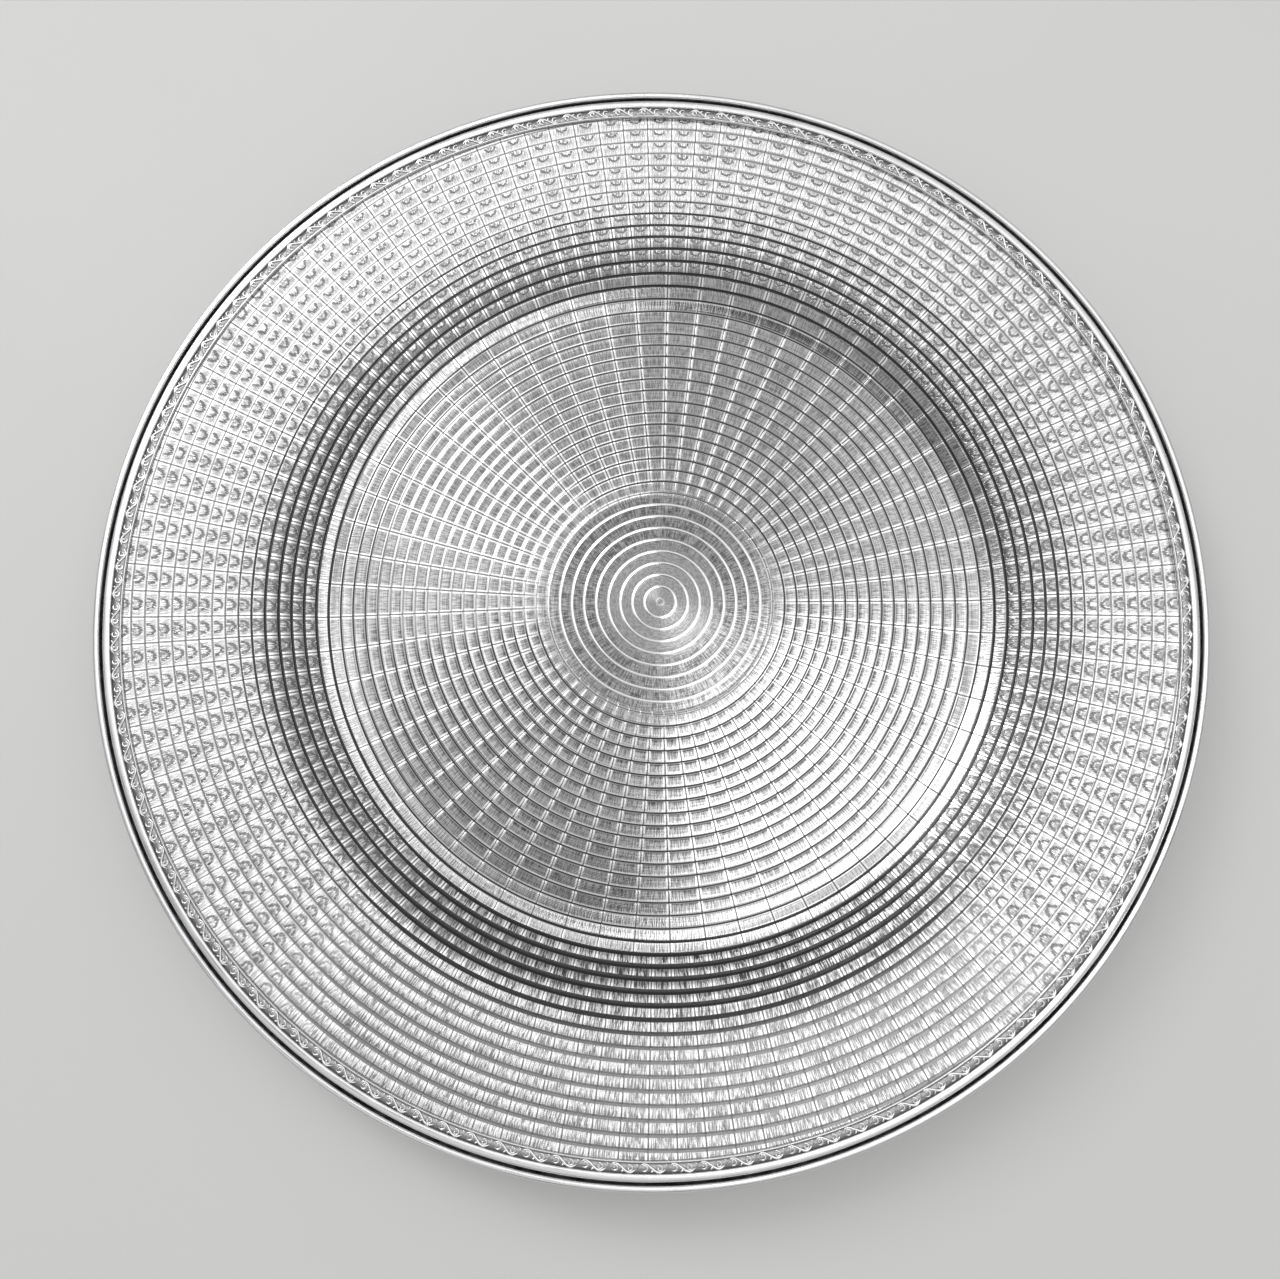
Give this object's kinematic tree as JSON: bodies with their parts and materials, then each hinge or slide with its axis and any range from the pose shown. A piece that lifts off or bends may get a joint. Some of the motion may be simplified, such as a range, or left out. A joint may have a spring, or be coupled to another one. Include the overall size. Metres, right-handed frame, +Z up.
{
  "type": "offering plate",
  "caption": "Round, shallow silver offering plate with turned rings and radial lines, a scrollwork border, a rounded rim with a rope edge and a low foot ring.",
  "frame": {"origin": "middle of the foot's resting plane", "axes": "+Z up, the axis that the dish is turned about; +X and +Y lie in the resting plane"},
  "size_m": [0.3, 0.3, 0.0246],
  "materials": {
    "dish_silver": "bright silver plate, turned rings, matted cells",
    "polished_silver": "polished silver plate",
    "scroll_silver": "relief scrollwork with darkened ground",
    "rope_silver": "polished silver plate, slanting notches",
    "foot_silver": "satin silver plate"
  },
  "bodies": {
    "root": {"plate_body": "dish_silver", "inner_border_wire": "polished_silver", "scroll_strip": "scroll_silver", "outer_border_wire": "polished_silver", "rim_moulding": "polished_silver", "rope_wire": "rope_silver", "foot_ring": "foot_silver", "foot_wire": "foot_silver"}
  },
  "joints": []
}
